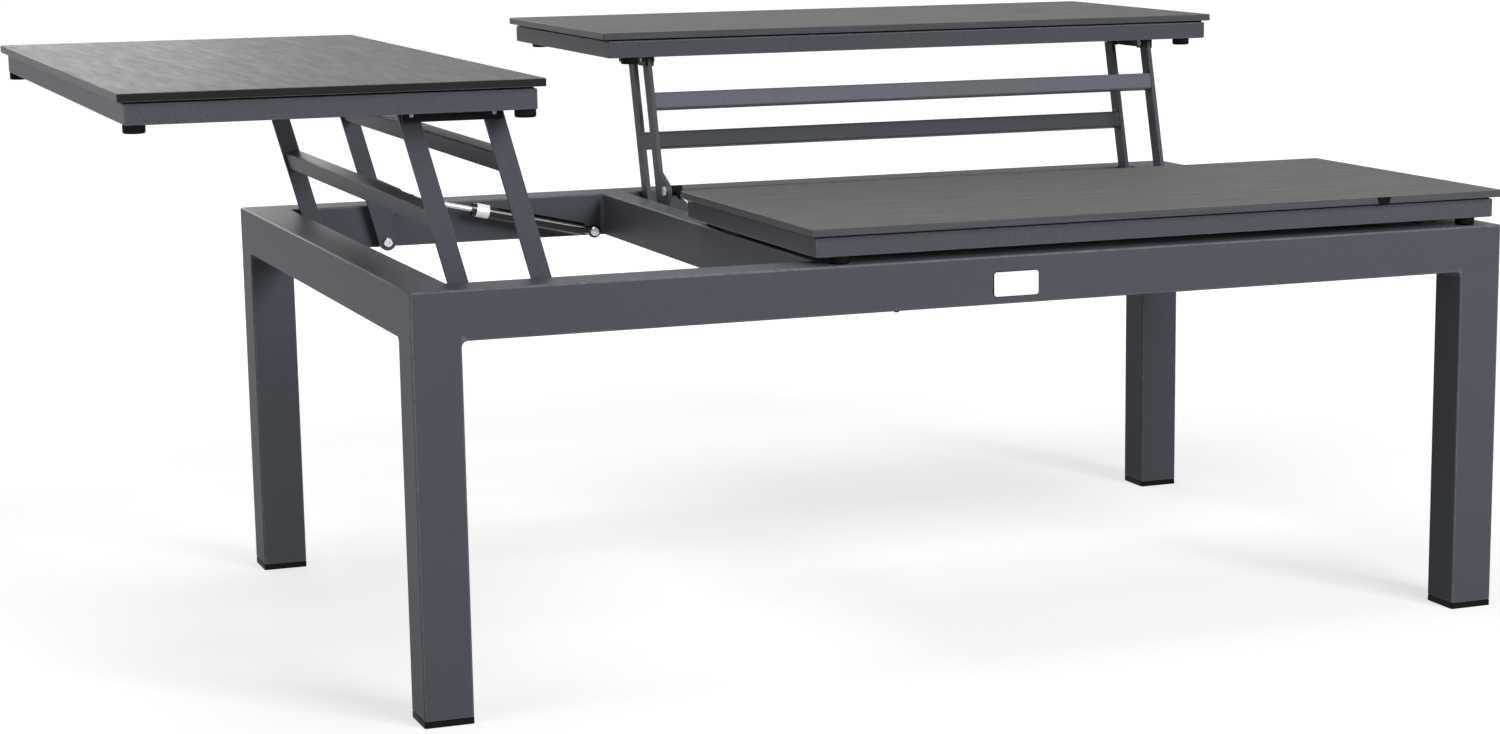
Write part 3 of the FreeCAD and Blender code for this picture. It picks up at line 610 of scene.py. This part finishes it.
class LayBoards(TableOperator, bpy.types.Operator):
    """Lay the three laminate boards with their eased edges"""
    bl_idname = "lounge_table.lay_boards"
    bl_label = "Laminate boards"

    def execute(self, context):
        sizes = context.scene.table_sizes
        for flap in FLAPS:
            bm = bmesh.new()
            block(bm, *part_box(f"{flap}_laminate"))
            round_off(bm, edges_along(bm, Z_AXIS, SHORT_EDGE), sizes.board_corner, segments=4)
            ease(bm, sharp_edges(bm), sizes.board_arris)
            board = add_piece(f"{flap}_laminate_board", bm, "dark_laminate", f"{flap}_top",
                              [f"{flap}_laminate"])
            if flap == "left":
                board.data.materials[0] = finish("dark_laminate_turned")
            for core in ("painted_lit_core", "laminate_core"):
                board.data.materials.append(finish(core))
            # Sawn edges take the painted light copy of the edge colour, or the painted shade copy on the left
            # board's sides that face away from the left
            for polygon in board.data.polygons:
                if abs(polygon.normal.z) < LOOKS_ALONG:
                    shaded = flap == "left" and polygon.normal.x > -LOOKS_ALONG
                    polygon.material_index = 2 if shaded else 1
        return {"FINISHED"}


class BuildSubframes(TableOperator, bpy.types.Operator):
    """Build the rounded tube rings under the tops, with their carriers"""
    bl_idname = "lounge_table.build_subframes"
    bl_label = "Subframes"

    def execute(self, context):
        sizes = context.scene.table_sizes
        for flap in FLAPS:
            low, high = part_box(f"{flap}_subframe")
            tube = high.z - low.z
            bm = bmesh.new()
            tube_ring(bm, [low.x, low.x + tube, high.x - tube, high.x],
                      [low.y, low.y + tube, high.y - tube, high.y], low.z, high.z)
            bmesh.ops.recalc_face_normals(bm, faces=bm.faces)
            for start, stop in carrier_places(flap, low, high, tube):
                block(bm, start, stop)
            ease(bm, sharp_edges(bm), sizes.subframe_edge)
            add_piece(f"{flap}_subframe_tubes", bm, "anthracite_coat", f"{flap}_top",
                      [f"{flap}_subframe"])
        return {"FINISHED"}


def carrier_places(flap, low, high, tube):
    """The two cross tubes that carry the pivot brackets, each just outside a bracket."""
    bracket_low, bracket_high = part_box(f"{flap}_pivot_brackets")
    if flap == "left":
        ends = ((bracket_low.y - tube, bracket_low.y), (bracket_high.y, bracket_high.y + tube))
        return [(Vector((low.x + tube, start, low.z)), Vector((high.x - tube, stop, high.z)))
                for start, stop in ends]
    ends = ((bracket_low.x - tube, bracket_low.x), (bracket_high.x, bracket_high.x + tube))
    return [(Vector((start, low.y + tube, low.z)), Vector((stop, high.y - tube, high.z)))
            for start, stop in ends]


class BandSprings(TableOperator, bpy.types.Operator):
    """Put a bare silver band, with nothing written on it, round each gas spring"""
    bl_idname = "lounge_table.band_springs"
    bl_label = "Gas spring bands"

    def execute(self, context):
        sizes = context.scene.table_sizes
        for flap in FLAPS:
            base = Vector(JOINTS[f"{flap}_spring_tilt"]["pos_m"])
            along = Vector(JOINTS[f"{flap}_spring_stroke"]["axis"])
            cylinder = frame["nodes"][f"{flap}_gas_cylinder"].data
            points = [vertex.co for vertex in cylinder.vertices]
            if sum((point - base).dot(along) for point in points) < 0:
                along.negate()
            reach = max((point - base).dot(along) for point in points)
            radius = max((point - base - along * (point - base).dot(along)).length
                         for point in points
                         if (point - base).dot(along) > reach - sizes.band_measure)
            bm = bmesh.new()
            shell = radius + sizes.band_thickness
            made = bmesh.ops.create_cone(bm, cap_ends=False, segments=64, radius1=shell,
                                         radius2=shell, depth=sizes.band_length)["verts"]
            turn = Vector((0, 0, 1)).rotation_difference(along).to_matrix()
            bmesh.ops.rotate(bm, cent=Vector((0, 0, 0)), matrix=turn, verts=made)
            middle = reach - sizes.band_setback - sizes.band_length / 2
            bmesh.ops.translate(bm, vec=base + along * middle, verts=made)
            add_piece(f"{flap}_spring_band", bm, "satin_aluminium", f"{flap}_spring_cylinder")
        return {"FINISHED"}


class EasePlates(TableOperator, bpy.types.Operator):
    """Ease the edges of the arms and brackets, as cut from plate and then coated"""
    bl_idname = "lounge_table.ease_plates"
    bl_label = "Arms and brackets"

    def execute(self, context):
        arris = context.scene.table_sizes.plate_arris
        plates = (("inner_arms", "inner_arm_plates", "anthracite_coat", "inner_arm_pair"),
                  ("outer_arms", "outer_arm_plates", "anthracite_coat", "outer_arm_pair"),
                  ("pivot_brackets", "bracket_channels", "black_coat", "top"))
        for flap in FLAPS:
            for node, name, slot, body in plates:
                add_piece(f"{flap}_{name}", eased_copy(f"{flap}_{node}", arris), slot,
                          f"{flap}_{body}", [f"{flap}_{node}"])
        return {"FINISHED"}


class WeldBars(TableOperator, bpy.types.Operator):
    """Weld the cross bars to their arms, with a hollowed bead all round each end"""
    bl_idname = "lounge_table.weld_bars"
    bl_label = "Cross bar welds"

    def execute(self, context):
        sizes = context.scene.table_sizes
        for flap in FLAPS:
            hinge = Vector(JOINTS[f"{flap}_inner_arms_turn"]["axis"]).normalized()
            along = (Vector(JOINTS[f"{flap}_top_level"]["pos_m"])
                     - Vector(JOINTS[f"{flap}_inner_arms_turn"]["pos_m"]))
            along = (along - hinge * along.dot(hinge)).normalized()
            axes = (along, hinge.cross(along), hinge)
            for layer in ("inner", "outer"):
                runs = [span(f"{flap}_{layer}_cross_bar", axis) for axis in axes]
                size = [high - low for low, high in runs]
                places = []
                for wall, inwards in ((runs[2][0], hinge), (runs[2][1], -hinge)):
                    middle = sum((axis * (sum(run) / 2) for axis, run in zip(axes, runs[:2])),
                                 hinge * wall)
                    turn = Matrix((axes[0], axes[1], inwards)).transposed().to_4x4()
                    places.append(Matrix.Translation(middle) @ turn)
                bm = bead_round(size, sizes.bar_corner, sizes.bar_weld, places)
                add_piece(f"{flap}_{layer}_bar_welds", bm, "anthracite_coat",
                          f"{flap}_{layer}_arm_pair")
        return {"FINISHED"}


class FitTrims(TableOperator, bpy.types.Operator):
    """Fit the tab in the front board's edge, a dark sheet round the plate as a painted shadow line, and the rail's
    weld drip
    """
    bl_idname = "lounge_table.fit_trims"
    bl_label = "Small trims"

    def execute(self, context):
        sizes = context.scene.table_sizes
        low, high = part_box("front_laminate")
        bm = bmesh.new()
        half = sizes.tab_width / 2
        proud = sizes.shadow_outline_thickness
        made = block(bm, Vector((TAB_MIDDLE - half, low.y - proud, low.z - proud)),
                     Vector((TAB_MIDDLE + half, low.y + half, high.z - sizes.board_arris)))
        for vertex in made:
            if vertex.co.z < (low.z + high.z) / 2:
                vertex.co.x = TAB_MIDDLE + (vertex.co.x - TAB_MIDDLE) * TAB_TAPER
        ease(bm, sharp_edges(bm), proud / 2, segments=2)
        add_piece("front_edge_tab", bm, "black_rubber", "front_top")

        # A thin dark sheet behind the plate, showing round it as a painted shadow line
        low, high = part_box("blank_badge_plate")
        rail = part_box("front_rail")[0].y
        edge = Vector((sizes.shadow_outline_edge, 0.0, sizes.shadow_outline_edge))
        bm = bmesh.new()
        block(bm, Vector((low.x, rail - proud, low.z)) - edge,
              Vector((high.x, rail, high.z)) + edge)
        round_off(bm, edges_along(bm, Y_AXIS, proud / 2),
                  sizes.plate_corner + sizes.shadow_outline_edge, segments=6)
        add_piece("plate_shadow_outline", bm, "black_rubber", "base")

        bm = bmesh.new()
        made = bmesh.ops.create_icosphere(bm, subdivisions=3, radius=sizes.drip)["verts"]
        bmesh.ops.scale(bm, vec=Vector(DRIP_SHAPE), verts=made)
        bmesh.ops.translate(bm, vec=Vector((DRIP_PLACE, rail + 2 * sizes.drip,
                                            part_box("front_rail")[0].z)), verts=made)
        add_piece("rail_weld_drip", bm, "anthracite_coat", "base")
        return {"FINISHED"}


class FinishNodes(TableOperator, bpy.types.Operator):
    """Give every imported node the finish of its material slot, or the one set for it"""
    bl_idname = "lounge_table.finish_nodes"
    bl_label = "Coats and plating"

    def execute(self, context):
        slots = {part["node"]: part["material_slot"] for part in frame["record"]["subparts"]}
        for node, piece in frame["nodes"].items():
            if not piece.material_slots:
                raise RuntimeError(f"{node} has no material slot")
            for place in piece.material_slots:
                place.material = finish(OTHER_FINISHES.get(node, slots[node]))
        return {"FINISHED"}


class SetStage(TableOperator, bpy.types.Operator):
    """Set the pale floor, the soft lamps and the camera"""
    bl_idname = "lounge_table.set_stage"
    bl_label = "Studio"

    def execute(self, context):
        scene = context.scene
        scene.view_settings.view_transform = "Standard"
        make_floor(scene)
        make_world(scene)
        for name, (place, side, power) in LAMPS.items():
            add_lamp(name, Vector(place), side, power)
        place_camera(scene)
        return {"FINISHED"}


def seen_directly(tree):
    """One for rays from the camera, and for rays by way of metal or glass."""
    path = add_node(tree, "ShaderNodeLightPath")
    either = add_node(tree, "ShaderNodeMath", operation="MAXIMUM")
    tree.links.new(path.outputs["Is Camera Ray"], either.inputs[0])
    tree.links.new(path.outputs["Is Glossy Ray"], either.inputs[1])
    any_of = add_node(tree, "ShaderNodeMath", operation="MAXIMUM")
    tree.links.new(either.outputs[0], any_of.inputs[0])
    tree.links.new(path.outputs["Is Transmission Ray"], any_of.inputs[1])
    return any_of.outputs[0]


def make_floor(scene):
    bm = bmesh.new()
    bmesh.ops.create_grid(bm, x_segments=1, y_segments=1, size=FLOOR_REACH)
    mesh = bpy.data.meshes.new("studio_floor")
    bm.to_mesh(mesh)
    bm.free()
    floor = bpy.data.objects.new("studio_floor", mesh)
    scene.collection.objects.link(floor)
    material, tree, shader = new_material("studio_floor")
    place = object_place(tree)
    shade = scene.table_colours.floor
    seen = seen_directly(tree)
    pale = ramp(tree, noise(tree, place, scale=6.0, detail=3.0),
                [(0.3, tone(shade, 0.99)), (0.7, tone(shade, 1.01))])
    tree.links.new(mix(tree, seen, tone(shade, 0.55), pale), shader.inputs["Base Color"])
    shader.inputs["Roughness"].default_value = 0.9
    shader.inputs["Specular IOR Level"].default_value = 0.0
    shader.inputs["Emission Color"].default_value = (1.0, 1.0, 1.0, 1.0)
    far = add_node(tree, "ShaderNodeVectorMath", operation="LENGTH")
    tree.links.new(place, far.inputs[0])
    white = spread(tree, far.outputs["Value"], FLOOR_WHITE_NEAR, FLOOR_WHITE_FAR,
                   WHITE_STARTS, WHITE_IS_FULL)
    tree.links.new(times(tree, seen, white), shader.inputs["Emission Strength"])
    mesh.materials.append(material)


def make_world(scene):
    world = bpy.data.worlds.new("studio_world")
    scene.world = world
    world.use_nodes = True
    tree = world.node_tree
    light = tree.nodes["Background"]
    light.inputs["Color"].default_value = (1.0, 1.0, 1.0, 1.0)
    strength = add_node(tree, "ShaderNodeMapRange")
    strength.inputs["To Min"].default_value = WORLD_LIGHT
    strength.inputs["To Max"].default_value = 1.0
    tree.links.new(seen_directly(tree), strength.inputs["Value"])
    tree.links.new(strength.outputs["Result"], light.inputs["Strength"])


def add_lamp(name, place, side, power):
    lamp = bpy.data.lights.new(name, "AREA")
    lamp.shape = "SQUARE"
    lamp.size = side
    lamp.energy = power
    holder = bpy.data.objects.new(name, lamp)
    holder.location = place
    aim = Vector(LAMP_TARGET) - place
    holder.rotation_euler = aim.to_track_quat("-Z", "Y").to_euler()
    bpy.context.scene.collection.objects.link(holder)


def place_camera(scene):
    """The camera at the photograph's place and viewing angle."""
    level = math.cos(CAMERA_PITCH)
    forward = Vector((math.sin(CAMERA_YAW) * level, math.cos(CAMERA_YAW) * level,
                      -math.sin(CAMERA_PITCH)))
    right = Vector((math.cos(CAMERA_YAW), -math.sin(CAMERA_YAW), 0.0))
    up = right.cross(forward)
    turned_right = right * math.cos(CAMERA_ROLL) + up * math.sin(CAMERA_ROLL)
    turned_up = up * math.cos(CAMERA_ROLL) - right * math.sin(CAMERA_ROLL)
    camera = bpy.data.cameras.new("studio_camera")
    camera.sensor_width = SENSOR_WIDTH
    camera.lens = FOCAL_LENGTH / PICTURE_WIDTH * SENSOR_WIDTH
    camera.shift_x = (PICTURE_WIDTH / 2 - MIDDLE_X) / PICTURE_WIDTH
    camera.shift_y = (MIDDLE_Y - PICTURE_HEIGHT / 2) / PICTURE_WIDTH
    holder = bpy.data.objects.new("studio_camera", camera)
    turn = Matrix((turned_right, turned_up, -forward)).transposed()
    holder.matrix_world = Matrix.Translation(CAMERA_PLACE) @ turn.to_4x4()
    scene.collection.objects.link(holder)
    scene.camera = holder


class TablePanel(bpy.types.Panel):
    bl_idname = "VIEW3D_PT_lounge_table"
    bl_label = "Lounge Table"
    bl_space_type = "VIEW_3D"
    bl_region_type = "UI"
    bl_category = "Lounge Table"

    def draw(self, context):
        for operator in OPERATORS:
            self.layout.operator(operator.bl_idname)
        for group in (context.scene.table_sizes, context.scene.table_colours):
            box = self.layout.box()
            for key in group.__annotations__:
                box.prop(group, key)


OPERATORS = (WeldFrame, LayBoards, BuildSubframes, BandSprings, EasePlates, WeldBars, FitTrims,
             FinishNodes, SetStage)
CLASSES = (TableSizes, TableColours) + OPERATORS + (TablePanel,)


def register():
    for item in CLASSES:
        bpy.utils.register_class(item)
    bpy.types.Scene.table_sizes = bpy.props.PointerProperty(type=TableSizes)
    bpy.types.Scene.table_colours = bpy.props.PointerProperty(type=TableColours)


def unregister():
    del bpy.types.Scene.table_colours
    del bpy.types.Scene.table_sizes
    for item in reversed(CLASSES):
        bpy.utils.unregister_class(item)


def main():
    register()
    bpy.ops.lounge_table.weld_frame()
    bpy.ops.lounge_table.lay_boards()
    bpy.ops.lounge_table.build_subframes()
    bpy.ops.lounge_table.band_springs()
    bpy.ops.lounge_table.ease_plates()
    bpy.ops.lounge_table.weld_bars()
    bpy.ops.lounge_table.fit_trims()
    bpy.ops.lounge_table.finish_nodes()
    bpy.ops.lounge_table.set_stage()


if __name__ == "__main__":
    main()
